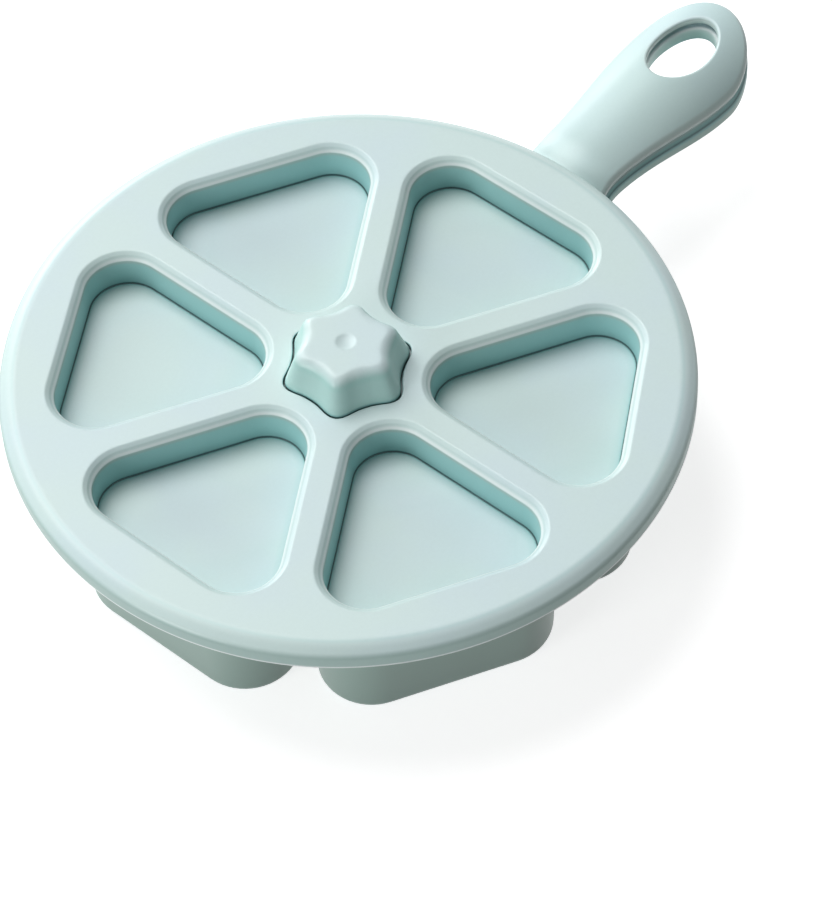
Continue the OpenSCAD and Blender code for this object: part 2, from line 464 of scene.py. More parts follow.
def refined(section: Loop, marks: Sequence[PaintedBand]) -> Loop:
    """A section with more points where it passes a mark.

    Args:
        section: the points of its line.
        marks: the marks beside it.

    Returns:
        The points of the same line.
    """
    line = [section[0]]
    for start, end in zip(section[:-1], section[1:]):
        length = float(np.linalg.norm(end - start))
        stops = {stop for mark in marks for stop in mark.stops(start, end)}
        share = sorted(x / length for x in stops if LEAST_STEP < x < length - LEAST_STEP)
        line += [start + (end - start) * t for t in share]
        line.append(end)
    return np.array(line)


def toned(section: Loop, marks: Sequence[PaintedBand]) -> np.ndarray:
    """The tones of painted highlight and shade along a section.

    Args:
        section: the points of its line.
        marks: the marks beside it.

    Returns:
        The sum of what the marks leave at each point.
    """
    tone = np.zeros(len(section))
    for mark in marks:
        tone += mark.depth * np.exp(-((mark.far(section) / mark.width) ** 2))
    return tone


def circle(radius: float, count: int = 288) -> Loop:
    """A circle round the origin."""
    return arc((0.0, 0.0), radius, 0.0, 360.0, count)[:-1]


def oval(length: float, width: float, count: int = 96) -> Loop:
    """An ellipse round the origin, its length along X."""
    return circle(1.0, count) * np.array([length / 2, width / 2])


def at_height(outline: Loop, z: Union[float, np.ndarray]) -> Loop:
    """The outline's points with a height."""
    return np.column_stack([outline, np.broadcast_to(z, len(outline))])


def turned(outline: Loop, degrees: float) -> Loop:
    """The outline turned round the origin."""
    c, s = math.cos(math.radians(degrees)), math.sin(math.radians(degrees))
    return outline @ np.array([[c, s], [-s, c]])


def inside(points: Loop, outline: Loop) -> np.ndarray:
    """Finds the points inside an outline.

    Args:
        points: the points.
        outline: the closed outline.

    Returns:
        True for each point that lies inside it.
    """
    x, y = points[:, :1], points[:, 1:]
    ax, ay = outline[:, 0], outline[:, 1]
    bx, by = np.roll(ax, -1), np.roll(ay, -1)
    spans = (ay > y) != (by > y)
    rise = np.where(by == ay, 1.0, by - ay)
    left = x < ax + (y - ay) / rise * (bx - ax)
    return (spans & left).sum(1) % 2 == 1


def level(z: float) -> Height:
    """A flat surface at a height."""
    return lambda x, y: np.full(len(x), z)


# ------------------------------------------------------------------------- skins


class Skin:
    """Collects the faces of one closed piece.

    Attributes:
        MERGE: points closer together than this become one.
        SHARP: faces that meet at a larger angle keep a sharp edge.
        TONE: the name of the attribute that holds the points' tones of painted highlight and shade.
        ENCLOSED: asks the triangulation for what the outlines enclose.
        SNAP: the triangulation's tolerance.
        CLEAR: how many spacings the points set inside keep from an outline.
    """

    MERGE = 2e-6
    SHARP = math.radians(50.0)
    TONE = "tone"
    ENCLOSED = 1
    SNAP = 1e-9
    CLEAR = 0.6

    def __init__(self) -> None:
        """Starts empty."""
        self.points: List[Loop] = []
        self.tones: List[np.ndarray] = []
        self.faces: List[Tuple[int, ...]] = []

    def _add(self, points: Loop, tone: Union[float, np.ndarray] = 0.0) -> int:
        """Adds points.

        Args:
            points: the points.
            tone: their tone, or the tone of each.

        Returns:
            The number of the first.
        """
        first = sum(len(block) for block in self.points)
        self.points.append(np.asarray(points, float))
        self.tones.append(np.broadcast_to(tone, len(points)))
        return first

    def loft(self, rings: Sequence[Loop], tones: Optional[np.ndarray] = None) -> None:
        """Joins closed rings of equally many points with quads.

        Args:
            rings: the rings in order.
            tones: the tone of each ring, or none for a plain piece.
        """
        count = len(rings[0])
        spread = 0.0 if tones is None else np.repeat(tones, count)
        first = self._add(np.concatenate(rings), spread)
        for j in range(len(rings) - 1):
            low, high = first + j * count, first + (j + 1) * count
            for i in range(count):
                k = (i + 1) % count
                self.faces.append((low + i, low + k, high + k, high + i))

    def sheet(
        self,
        outer: Loop,
        holes: Sequence[Loop],
        height: Height,
        spacing: float = 0.0,
        tone: float = 0.0,
    ) -> None:
        """Fills an outline, round its holes, at a height over each point.

        Args:
            outer: the closed outline.
            holes: closed outlines left open.
            height: the surface's height over a point.
            spacing: the pitch of the points set inside, or 0 for none.
            tone: the tone of its points.
        """
        loops = [outer, *holes]
        flat = [point for loop in loops for point in loop]
        edges = []
        start = 0
        for loop in loops:
            edges += [(start + i, start + (i + 1) % len(loop)) for i in range(len(loop))]
            start += len(loop)
        if spacing:
            flat += list(self._fillers(outer, holes, spacing))
        found = delaunay_2d_cdt([Vector(p) for p in flat], edges, [], self.ENCLOSED, self.SNAP)
        spots = np.array([tuple(v) for v in found[0]])
        triangles = np.array(found[2])
        middles = spots[triangles].mean(1)
        keep = np.full(len(middles), True)
        for hole in holes:
            keep &= ~inside(middles, hole)
        first = self._add(at_height(spots, height(spots[:, 0], spots[:, 1])), tone)
        self.faces += [tuple(first + int(i) for i in t) for t in triangles[keep]]

    def cap(self, ring: Loop) -> None:
        """Closes a level ring."""
        self.sheet(ring[:, :2], [], level(ring[0, 2]))

    def _fillers(self, outer: Loop, holes: Sequence[Loop], spacing: float) -> Loop:
        """Points that a sheet gets inside.

        Args:
            outer: the sheet's outline.
            holes: the outlines of its holes.
            spacing: the pitch.

        Returns:
            A triangular grid of points that keeps clear of all outlines.
        """
        low, high = outer.min(0), outer.max(0)
        rows = np.arange(low[1], high[1], spacing * math.sqrt(3) / 2)
        grid = []
        for n, y in enumerate(rows):
            xs = np.arange(low[0] + (n % 2) * spacing / 2, high[0], spacing)
            grid.append(np.column_stack([xs, np.full(len(xs), y)]))
        points = np.concatenate(grid)
        keep = inside(points, outer)
        for hole in holes:
            keep &= ~inside(points, hole)
        points = points[keep]
        rim = np.concatenate([outer, *holes])
        near = np.linalg.norm(points[:, None] - rim[None], axis=2).min(1)
        return points[near > spacing * self.CLEAR]

    def object(self, name: str, shift: Sequence[float]) -> bpy.types.Object:
        """Makes the piece.

        Args:
            name: the object's name.
            shift: how far its points move into the frame.

        Returns:
            The new object, smooth but for its sharp edges.
        """
        mesh = bpy.data.meshes.new(name)
        points = np.concatenate(self.points) + np.array(shift)
        mesh.from_pydata([tuple(p) for p in points], [], self.faces)
        tone = mesh.attributes.new(self.TONE, "FLOAT", "POINT")
        tone.data.foreach_set("value", np.concatenate(self.tones))
        work = bmesh.new()
        work.from_mesh(mesh)
        bmesh.ops.remove_doubles(work, verts=work.verts[:], dist=self.MERGE)
        bmesh.ops.dissolve_degenerate(work, dist=self.MERGE, edges=work.edges[:])
        bmesh.ops.recalc_face_normals(work, faces=work.faces[:])
        open_edges = sum(1 for edge in work.edges if len(edge.link_faces) != 2)
        work.to_mesh(mesh)
        work.free()
        mesh.shade_smooth()
        mesh.set_sharp_from_angle(angle=self.SHARP)
        piece = bpy.data.objects.new(name, mesh)
        bpy.context.scene.collection.objects.link(piece)
        log.info("%s: %d faces, %d open edges", name, len(mesh.polygons), open_edges)
        return piece


# ------------------------------------------------------------------ shared forms


@dataclass
class Pocket:
    """The rounded triangle that pockets, plungers and cups are all offset from."""

    distance: float = 59.8 * MM
    inradius: float = 23.8 * MM
    corner: float = 12.5 * MM
    corner_steps: int = 18
    side_steps: int = 6
    bends_deg: Tuple[float, ...] = (60.0, 180.0, 300.0)
    half_bend_deg: float = 60.0

    def outline(self, place: int, grow: float = 0.0) -> Loop:
        """The outline of one place, grown on every side.

        Args:
            place: its number, from 1 at the handles and then counter-clockwise.
            grow: how far it lies outside the pocket's own wall.

        Returns:
            A closed loop round the mold's axis.
        """
        reach = 2 * (self.inradius - self.corner)
        bends = []
        for middle in self.bends_deg:
            centre = reach * np.array([math.cos(math.radians(middle)), math.sin(math.radians(middle))])
            start, end = middle - self.half_bend_deg, middle + self.half_bend_deg
            bends.append(arc(centre, self.corner + grow, start, end, self.corner_steps))
        loop: List[Loop] = []
        share = np.linspace(0, 1, self.side_steps + 1)[1:-1, None]
        for n, bend in enumerate(bends):
            following = bends[(n + 1) % len(bends)]
            loop.extend(bend)
            loop.extend(bend[-1] + (following[0] - bend[-1]) * share)
        flat = np.array(loop) + np.array([self.distance, 0.0])
        return turned(flat, STEP_DEG * (place - 1))

    def swept(self, place: int, section: Loop, tones: np.ndarray) -> Skin:
        """A closed piece whose section runs round the triangle.

        Args:
            place: its number.
            section: the section's line, as growth and height.
            tones: the tone at each of its points.

        Returns:
            The closed skin.
        """
        skin = Skin()
        rings = [at_height(self.outline(place, grow), z) for grow, z in section]
        skin.loft(rings, tones)
        skin.cap(rings[0])
        skin.cap(rings[-1])
        return skin


@dataclass
class Star:
    """The six-lobed outline of the boss, its waists towards the pockets."""

    radius: float = 17.4 * MM
    wave: float = 1.55 * MM
    point: float = 0.2 * MM
    count: int = 144

    def outline(self, grow: float = 0.0, scale: float = 1.0) -> Loop:
        """The outline, scaled and then grown.

        Args:
            grow: how far it lies outside the boss.
            scale: its size, 1 where it passes through the lid.

        Returns:
            A closed loop round the mold's axis.
        """
        angle = np.radians(np.arange(self.count) * 360.0 / self.count)
        turn = POCKETS * (angle - math.pi / POCKETS)
        lobed = scale * (self.radius + self.wave * np.cos(turn))
        radius = lobed + self.point * np.cos(2 * turn) + grow
        return np.column_stack([radius * np.cos(angle), radius * np.sin(angle)])


@dataclass
class HandleForm:
    """The crowned form of both handles, round the mold's axis."""

    lid_r: float
    tip_x: float
    top_z: float
    neck_w: float = 27.8 * MM
    paddle_w: float = 38.7 * MM
    paddle_end: float = 23.0 * MM
    neck_gap: float = 6.0 * MM
    root_flare: float = 0.75 * MM
    crown_r: float = 24.5 * MM
    crown_h: float = 2.4 * MM
    neck_h: float = 0.1 * MM
    root_drop: float = 2.3 * MM
    rise: float = 10.0 * MM
    tip_drop: float = 0.4 * MM
    hole_l: float = 27.7 * MM
    hole_w: float = 18.0 * MM
    hole_from_tip: float = 22.3 * MM
    side_steps: int = 51
    bend_steps: int = 36
    root_steps: int = 18

    @property
    def neck_x(self) -> float:
        """Where the neck begins to widen."""
        return self.lid_r + self.neck_gap

    @property
    def paddle_x(self) -> float:
        """Where the paddle's rounded end begins."""
        return self.tip_x - self.paddle_end

    def swell(self, x: np.ndarray) -> np.ndarray:
        """From 0 at the neck to 1 at the paddle, with soft ends."""
        share = np.clip((x - self.neck_x) / (self.paddle_x - self.neck_x), 0, 1)
        return (1 - np.cos(np.pi * share)) / 2

    def half_width(self, x: np.ndarray, out: float = 0.0) -> np.ndarray:
        """Half the width at a station.

        Args:
            x: the station, from the mold's axis.
            out: how far it stands out beyond the lid's handle.

        Returns:
            The distance from the middle to the side.
        """
        flare = self.root_flare * (np.maximum(0, self.neck_x - x) / self.neck_gap) ** 2
        grown = (self.paddle_w - self.neck_w) / 2 * self.swell(x)
        end = np.clip((x - self.paddle_x) / self.paddle_end, 0, 1)
        return (self.neck_w / 2 + out + flare + grown) * np.sqrt(1 - end**2)

    def top(self, x: np.ndarray, y: np.ndarray) -> np.ndarray:
        """Height of the crowned surface.

        Args:
            x: the station, from the mold's axis.
            y: the distance from the middle.

        Returns:
            The height over each point.
        """
        crown = self.neck_h + (self.crown_h - self.neck_h) * self.swell(x)
        root = self.root_drop * np.maximum(0, 1 - (x - self.lid_r) / self.rise) ** 2
        tip = self.tip_drop * np.maximum(0, (x - self.paddle_x) / self.paddle_end) ** 2
        sag = self.crown_r - np.sqrt(self.crown_r**2 - y**2)
        return self.top_z + crown - root - tip - sag

    def outline(self, root_r: float, out: float = 0.0) -> Loop:
        """The closed outline from a root that follows the lid's round.

        Args:
            root_r: the radius of the hidden root, from the mold's axis.
            out: how far it stands out on each side beyond the lid's handle.

        Returns:
            The loop, counter-clockwise from above.
        """
        root_w = float(self.half_width(np.array(root_r), out))
        start = math.sqrt(root_r**2 - root_w**2)
        side = np.linspace(start, self.paddle_x, self.side_steps + 1)
        turn = np.radians(np.linspace(0, 90, self.bend_steps + 1))[1:]
        bend = self.paddle_x + self.paddle_end * np.sin(turn)
        wide = self.paddle_w / 2 + out
        x = np.concatenate([side, bend])
        y = np.concatenate([self.half_width(side, out), wide * np.cos(turn)])
        y[-1] = 0.0
        right = np.column_stack([x, -y])
        left = np.column_stack([x, y])[::-1][1:]
        angle = math.degrees(math.asin(y[0] / root_r))
        root = arc((0.0, 0.0), root_r, angle, -angle, self.root_steps)[1:-1]
        return np.concatenate([right, left, root])

    def hole(self, grow: float) -> Loop:
        """The outline of the hole for hanging, grown on every side."""
        shift = np.array([self.tip_x - self.hole_from_tip, 0.0])
        return oval(self.hole_l + 2 * grow, self.hole_w + 2 * grow) + shift


@dataclass(frozen=True)
class Edge:
    """A shell's edge.

    Attributes:
        radius: its rounding above, and twice the one below.
        tones: its tones of painted highlight and shade from the top down, at the rings that STOPS
            numbers.
    """

    STEPS: ClassVar[int] = 8
    LOW_STEPS: ClassVar[int] = 6
    STOPS: ClassVar[Tuple[int, ...]] = (0, 4, 8, 9, 15)

    radius: float
    tones: Tuple[float, float, float, float, float]


def drawn_in(outline: Loop, inset: float) -> Loop:
    """An outline moved inwards along its normals.

    Args:
        outline: the closed outline, counter-clockwise.
        inset: how far it moves.

    Returns:
        The same number of points.
    """
    along = np.roll(outline, -1, 0) - np.roll(outline, 1, 0)
    along /= np.linalg.norm(along, axis=1, keepdims=True)
    outward = np.column_stack([along[:, 1], -along[:, 0]])
    return outline - outward * inset


def roll(radius: float, steps: int) -> List[Tuple[float, float]]:
    """A quarter round from a face over its edge, as inset and drop."""
    angle = np.radians(np.linspace(0, 90, steps + 1))
    return [(radius * (1 - math.sin(a)), radius * (1 - math.cos(a))) for a in angle]


@dataclass
class HandleShell:
    """A handle's crowned shell.

    Attributes:
        outline: its closed outline.
        hole: gives the outline of its hole, grown by a distance.
        top: the height of its upper surface over a point.
        low: the height of its underside.
        edge: its outer edge.
        lip: the edge of its hole.
        collar_h: how far a collar hangs from the hole's edge, or 0 for none.
        collar_w: how wide the collar is.
    """

    TOP_PITCH: ClassVar[float] = 1.3 * MM
    LOW_PITCH: ClassVar[float] = 1.8 * MM

    outline: Loop
    hole: Callable[[float], Loop]
    top: Height
    low: Height
    edge: Edge
    lip: Edge
    collar_h: float = 0.0
    collar_w: float = 0.0

    def _rings(self, loop: Callable[[float], Loop], over: Edge, hang: float = 0.0) -> List[Loop]:
        """The rings from the upper surface over an edge to the underside.

        Args:
            loop: gives the edge's outline, moved into the shell by an inset.
            over: the edge.
            hang: how far a collar hangs from it.

        Returns:
            The rings in order.
        """
        rings = []
        for inset, drop in roll(over.radius, Edge.STEPS):
            ring = loop(inset)
            rings.append(at_height(ring, self.top(ring[:, 0], ring[:, 1]) - drop))
        for inset, drop in reversed(roll(over.radius / 2, Edge.LOW_STEPS)):
            ring = loop(inset)
            rings.append(at_height(ring, self.low(ring[:, 0], ring[:, 1]) + drop - hang))
        if hang:
            ring = loop(self.collar_w)
            rings += [at_height(ring, self.low(ring[:, 0], ring[:, 1]) - h) for h in (hang, 0.0)]
        return rings

    def skin(self) -> Skin:
        """Makes the shell.

        Returns:
            The closed skin.
        """
        skin = Skin()
        outer = self._rings(lambda inset: drawn_in(self.outline, inset), self.edge)
        inner = self._rings(self.hole, self.lip, self.collar_h)
        for rings, edge in ((outer, self.edge), (inner, self.lip)):
            # the edge's rings take its tones of painted highlight and shade
            skin.loft(rings, np.interp(range(len(rings)), Edge.STOPS, edge.tones))
        # the upper surface takes the edge's first tone: painted shade where it is below 0
        skin.sheet(outer[0][:, :2], [inner[0][:, :2]], self.top, self.TOP_PITCH, self.edge.tones[0])
        skin.sheet(outer[-1][:, :2], [inner[-1][:, :2]], self.low, self.LOW_PITCH)
        return skin


# -------------------------------------------------------------------- mouldings


@dataclass
class Assembly:
    """A moulding with its pieces, which are built round the mold's axis."""

    moulding: ClassVar[Moulding]
    finish: ClassVar[SatinPlastic]

    axis_x: float

    @cached_property
    def material(self) -> bpy.types.Material:
        """The material that all pieces of the moulding share."""
        return self.finish.material()

    def dress(self, skin: Skin, name: str, node: str) -> None:
        """Makes a piece from its skin and puts it on the moulding.

        Args:
            skin: the piece's faces.
            name: the piece's name.
            node: the solid that it stands for.
        """
        piece = skin.object(name, (self.axis_x, 0.0, 0.0))
        piece.data.materials.append(self.material)
        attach(piece, self.moulding.value)
        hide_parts(node)


@dataclass
class PressLid(Assembly):
    """The upper moulding: a round plate, six plungers and a handle.

    Attributes:
        rim_run, floor_run: how far a section goes on into the flat beside its rounding.
        mouth_flat, mouth_bend_w: where a pocket's mouth bends, as shares of mouth_w.
        mouth_bend_h: how deep its second bend lies, as a share of mouth_h.
        gap_shade_h: the depth at which the painted shade in the star's opening is at its darkest.
        root_depth: how far the handle goes on inside the rim.
    """

    moulding: ClassVar[Moulding] = Moulding.LID
    finish: ClassVar[SatinPlastic] = LID_PLASTIC

    radius: float
    top_z: float
    handle: HandleForm
    pocket: Pocket = field(default_factory=Pocket)
    star: Star = field(default_factory=Star)
    wall: float = 2.2 * MM
    skirt_h: float = 7.5 * MM
    bevel_w: float = 3.6 * MM
    bevel_h: float = 2.5 * MM
    band_top_r: float = 6.0 * MM
    band_low_r: float = 2.5 * MM
    skirt_edge: float = 0.6 * MM
    rim_fillet: float = 0.8 * MM
    rim_run: float = 2.0 * MM
    pocket_h: float = 11.4 * MM
    mouth_w: float = 3.0 * MM
    mouth_h: float = 2.1 * MM
    mouth_flat: float = 0.80
    mouth_bend_w: float = 0.42
    mouth_bend_h: float = 0.36
    mouth_radii: Tuple[float, float, float] = (1.2 * MM, 1.6 * MM, 0.5 * MM)
    flange: float = 3.4 * MM
    draft: float = math.tan(math.radians(5.0))
    floor_r: float = 0.3 * MM
    floor_run: float = 4.0 * MM
    press_r: float = 1.5 * MM
    root_r: float = 0.6 * MM
    star_gap: float = 0.6 * MM
    star_edge: float = 0.4 * MM
    star_edge_steps: int = 5
    star_wall_h: float = 1.0 * MM
    gap_shade_h: float = 0.45 * MM
    flat_ring: float = 0.5 * MM
    shell_t: float = 2.6 * MM
    # edge tones: painted shade on top and under the edge, painted highlight on the rounding
    handle_edge: Edge = Edge(1.3 * MM, (-0.13, 0.25, 0.60, 0.0, -0.30))
    hole_edge: Edge = Edge(1.1 * MM, (-0.13, 0.15, 0.45, 0.10, -0.20))
    root_depth: float = 1.9 * MM
    # the rim's painted highlight and painted shade
    skirt_painted_highlight: PaintedBand = PaintedBand(0.0, 0.65 * MM, 0.95, 0.40 * MM)
    band_painted_shade: PaintedBand = PaintedBand(-0.6 * MM, -0.05 * MM, -0.14, 0.8 * MM)
    # painted shade and painted highlight in the pockets
    crease_painted_shade: PaintedBand = PaintedBand(0.0, 0.0, -0.75, 0.40 * MM)
    floor_painted_shade: PaintedBand = PaintedBand(0.0, 0.3 * MM, -0.20, 3.0 * MM)
    wall_painted_shade: PaintedBand = PaintedBand(0.0, 4.2 * MM, -0.42, 0.9 * MM, tall=7.0 * MM)
    mouth_painted_highlight: PaintedBand = PaintedBand(0.30 * MM, -1.70 * MM, 0.65, 0.70 * MM)

    @property
    def under_z(self) -> float:
        """Underside of the plate."""
        return self.top_z - self.wall

    @property
    def floor_z(self) -> float:
        """The pockets' floors."""
        return self.top_z - self.pocket_h

    @property
    def floor_in(self) -> float:
        """How far out the foot of a pocket's wall lies, below 0 because it leans in."""
        return -(self.under_z - self.floor_z) * self.draft

    def rim_section(self) -> Loop:
        """The rim's section, from its flat top round to the underside.

        Returns:
            The points, as radius and height.
        """
        r, top = self.radius, self.top_z
        inner = r - self.wall
        points = [
            (r - self.bevel_w - self.rim_run, top),
            (r - self.bevel_w, top),
            (r, top - self.bevel_h),
            (r, top - self.skirt_h),
            (inner, top - self.skirt_h),
            (inner, self.under_z),
            (inner - self.rim_run, self.under_z),
        ]
        edge = self.skirt_edge
        radii = [0, self.band_top_r, self.band_low_r, edge, edge, self.rim_fillet, 0]
        return refined(profile(points, radii, FINE_STEPS), self.rim_painted_bands())

    def rim_painted_bands(self) -> List[PaintedBand]:
        """A painted highlight along the rim's lower edge, and a soft line of painted shade where its
        band begins.
        """
        skirt = self.skirt_painted_highlight.at(self.radius, self.top_z - self.skirt_h)
        return [skirt, self.band_painted_shade.at(self.radius - self.bevel_w, self.top_z)]

    def star_mouth(self) -> List[Tuple[float, float]]:
        """The section of the star's opening.

        Returns:
            Its points from the plate's top down, as growth and drop.
        """
        gap, edge = self.star_gap, self.star_edge
        mouth = [(gap + edge + self.flat_ring, 0.0)]
        mouth += [(gap + inset, drop) for inset, drop in roll(edge, self.star_edge_steps)]
        mouth += [(gap, self.star_wall_h), (gap, self.wall), (gap + self.flat_ring, self.wall)]
        return mouth

    def plate(self) -> Skin:
        """The plate with its rim, open at the plungers and at the star.

        Returns:
            The closed skin.
        """
        skin = Skin()
        rim = self.rim_section()
        skin.loft([at_height(circle(r), z) for r, z in rim], toned(rim, self.rim_painted_bands()))
        holes = [self.pocket.outline(i, self.flange) for i in range(1, POCKETS + 1)]
        for hole in holes:
            skin.loft([at_height(hole, self.top_z), at_height(hole, self.under_z)])
        mouth = self.star_mouth()
        # painted shade, darkening down the wall of the star's opening
        tones = np.clip([-drop / self.gap_shade_h for _, drop in mouth], -1.0, 0.0)
        rings = [at_height(self.star.outline(grow), self.top_z - drop) for grow, drop in mouth]
        skin.loft(rings, tones)
        tops = [*holes, self.star.outline(mouth[0][0])]
        unders = [*holes, self.star.outline(mouth[-1][0])]
        skin.sheet(circle(rim[0][0]), tops, level(self.top_z))
        skin.sheet(circle(rim[-1][0]), unders, level(self.under_z))
        return skin

    def plunger_section(self) -> Loop:
        """A plunger's section, from the middle of its press face out and over to its floor.

        Returns:
            The points, as growth and height.
        """
        press_z = self.floor_z - self.wall
        press = self.wall - (self.under_z - press_z) * self.draft
        below = [
            (press - self.floor_run, press_z),
            (press, press_z),
            (self.wall, self.under_z),
            (self.flange, self.under_z),
            (self.flange, self.top_z),
        ]
        wide, deep = self.mouth_w, self.mouth_h
        above = [
            (wide, self.top_z),
            (self.mouth_flat * wide, self.top_z),
            (self.mouth_bend_w * wide, self.top_z - self.mouth_bend_h * deep),
            (0.0, self.top_z - deep),
            (self.floor_in, self.floor_z),
            (-self.floor_run, self.floor_z),
        ]
        outside = profile(below, [0, self.press_r, self.root_r, 0, 0], FINE_STEPS)
        hollow = profile(above, [0, *self.mouth_radii, self.floor_r, 0])
        return np.concatenate([outside, hollow])

    def pocket_painted_bands(self) -> List[PaintedBand]:
        """The painted bands inside a pocket.

        Returns:
            Painted shade in the crease round its floor, on the floor by the crease and
            up the wall, and a painted highlight on the edge of its mouth.
        """
        foot, floor_z = self.floor_in, self.floor_z
        return [
            self.crease_painted_shade.at(foot, floor_z),
            self.floor_painted_shade.at(foot, floor_z),
            self.wall_painted_shade.at(foot / 2, floor_z),
            self.mouth_painted_highlight.at(0.0, self.top_z),
        ]

    def plunger(self, place: int) -> Skin:
        """One plunger, hollow from above, with the rounded mouth of its pocket.

        Args:
            place: its number.

        Returns:
            The closed skin.
        """
        marks = self.pocket_painted_bands()
        section = refined(self.plunger_section(), marks)
        return self.pocket.swept(place, section, toned(section, marks))

    def grip_top(self, x: np.ndarray, y: np.ndarray) -> np.ndarray:
        """Top of the handle, level where the rim hides its root."""
        return self.handle.top(np.maximum(x, self.radius), y)

    def grip_low(self, x: np.ndarray, y: np.ndarray) -> np.ndarray:
        """Underside of the handle."""
        return self.grip_top(x, y) - self.shell_t

    def grip(self) -> Skin:
        """The handle's shell, with rounded edges and a soft lip round its hole.

        Returns:
            The closed skin.
        """
        outline = self.handle.outline(self.radius - self.root_depth)
        faces = (self.handle.hole, self.grip_top, self.grip_low)
        return HandleShell(outline, *faces, self.handle_edge, self.hole_edge).skin()

    def build(self) -> None:
        """Builds and dresses every piece of the lid."""
        self.dress(self.plate(), "lid_plate_skin", "lid_plate")
        for place in range(1, POCKETS + 1):
            self.dress(self.plunger(place), f"plunger_{place}_skin", f"plunger_{place}")
        self.dress(self.grip(), "lid_handle_skin", "lid_handle")


@dataclass
class MoldTray(Assembly):
    """The lower moulding: a deck, six cups, a star boss and a handle.

    Attributes:
        deck_run, under_run, floor_run, hollow_run: how far a section goes on into the
            flat beside its rounding.
        gap_h, gap_fade, gap_tone: how far below the lid's top the boss's painted shade is
            darkest, over what height that fades, and how dark it is.
        side_at_mm, side_tones: heights above the lid's top, and the boss's tones there,
            painted light that makes its sides paler.
        hub_shares: how far each ring of the boss's top has turned from star to circle.
        dimple_middle: the dimple's innermost ring, as a share of its rim.
        ramp_from, ramp_slope: where the planed root begins to rise, and how steeply.
        grip_out: how far the handle stands out beyond the lid's on each side.
    """

    moulding: ClassVar[Moulding] = Moulding.TRAY
    finish: ClassVar[SatinPlastic] = TRAY_PLASTIC

    lid_r: float
    top_z: float
    boss_z: float
    handle: HandleForm
    pocket: Pocket = field(default_factory=Pocket)
    star: Star = field(default_factory=Star)
    wall: float = 2.2 * MM
    rim_gap: float = 0.6 * MM
    lip_t: float = 2.0 * MM
    skirt_h: float = 7.5 * MM
    lip_gap: float = 0.5 * MM
    deck_edge: float = 0.8 * MM
    lip_edge: float = 0.4 * MM
    deck_run: float = 3.0 * MM
    under_run: float = 2.0 * MM
    press_gap: float = 0.6 * MM
    draft: float = math.tan(math.radians(2.0))
    flange: float = 0.6 * MM
    mouth_r: float = 0.5 * MM
    root_r: float = 0.4 * MM
    foot_r: float = 3.5 * MM
    floor_run: float = 8.0 * MM
    boss_draft: float = math.tan(math.radians(19.0))
    boss_edge: float = 2.6 * MM
    boss_steps: int = 11
    boss_edge_steps: int = 10
    hollow_run: float = 4.0 * MM
    hollow_r: float = 1.0 * MM
    hollow_steps: int = 4
    throat_h: float = 4.0 * MM
    throat_steps: int = 2
    gap_h: float = 0.6 * MM
    gap_steps: int = 3
    gap_fade: float = 1.2 * MM
    gap_tone: float = 0.8
    side_at_mm: Tuple[float, ...] = (0.6, 2.0, 7.0, 9.0)
    side_tones: Tuple[float, ...] = (0.0, 0.2, 0.2, 0.0)
    hub_shares: Tuple[float, ...] = (0.15, 0.4, 0.7, 1.0)
    hub_ring: float = 0.6 * MM
    dimple_d: float = 5.9 * MM
    dimple_h: float = 0.6 * MM
    dimple_steps: int = 11
    dimple_middle: float = 0.06
    handle_step: float = 4.5 * MM
    ramp_from: float = 1.0 * MM
    ramp_slope: float = 0.6
    grip_t: float = 3.4 * MM
    grip_edge: float = 0.8 * MM
    grip_out: float = 0.5 * MM
    # edge tones: painted shade along the edge under the lid's handle, a painted highlight on the ledge
    # round the hole and painted shade down its collar
    grip_rim: Edge = Edge(1.4 * MM, (0.0, -0.85, 0.05, 0.15, 0.10))
    grip_lip: Edge = Edge(1.0 * MM, (0.0, 0.95, 0.45, -0.30, -0.35))
    collar_h: float = 1.6 * MM
    collar_w: float = 1.6 * MM
    # painted shade round the cups' feet, where they meet the table
    foot_painted_shade: PaintedBand = PaintedBand(-1.0 * MM, 0.3 * MM, -0.45, 1.3 * MM)

    @property
    def deck_z(self) -> float:
        """Top of the deck, where the lid rests."""
        return self.top_z - self.wall

    @property
    def under_z(self) -> float:
        """Underside of the deck."""
        return self.deck_z - self.wall

    @property
    def lip_z(self) -> float:
        """Bottom of the deck's turned-down lip."""
        return self.top_z - self.skirt_h - self.lip_gap

    @property
    def deck_r(self) -> float:
        """Radius of the deck, inside the lid's rim."""
        return self.lid_r - self.wall - self.rim_gap

    def cup_grow(self, z: float) -> float:
        """How far a cup's inner wall lies outside the pocket's at a height."""
        return self.wall + self.press_gap - (self.deck_z - z) * self.draft

    def deck(self) -> Skin:
        """The deck and its lip, open at the cups and under the boss.

        Returns:
            The closed skin.
        """
        skin = Skin()
        inner = self.deck_r - self.lip_t
        points = [
            (self.deck_r - self.deck_run, self.deck_z),
            (self.deck_r, self.deck_z),
            (self.deck_r, self.lip_z),
            (inner, self.lip_z),
            (inner, self.under_z),
            (inner - self.under_run, self.under_z),
        ]
        rim = profile(points, [0, self.deck_edge, self.lip_edge, self.lip_edge, self.deck_edge, 0])
        skin.loft([at_height(circle(r), z) for r, z in rim])
        grow = self.cup_grow(self.under_z) + self.wall + self.flange
        holes = [self.pocket.outline(i, grow) for i in range(1, POCKETS + 1)]
        holes.append(self.star.outline(-self.wall))
        for hole in holes:
            skin.loft([at_height(hole, self.deck_z), at_height(hole, self.under_z)])
        skin.sheet(circle(rim[0][0]), holes, level(self.deck_z))
        skin.sheet(circle(rim[-1][0]), holes, level(self.under_z))
        return skin

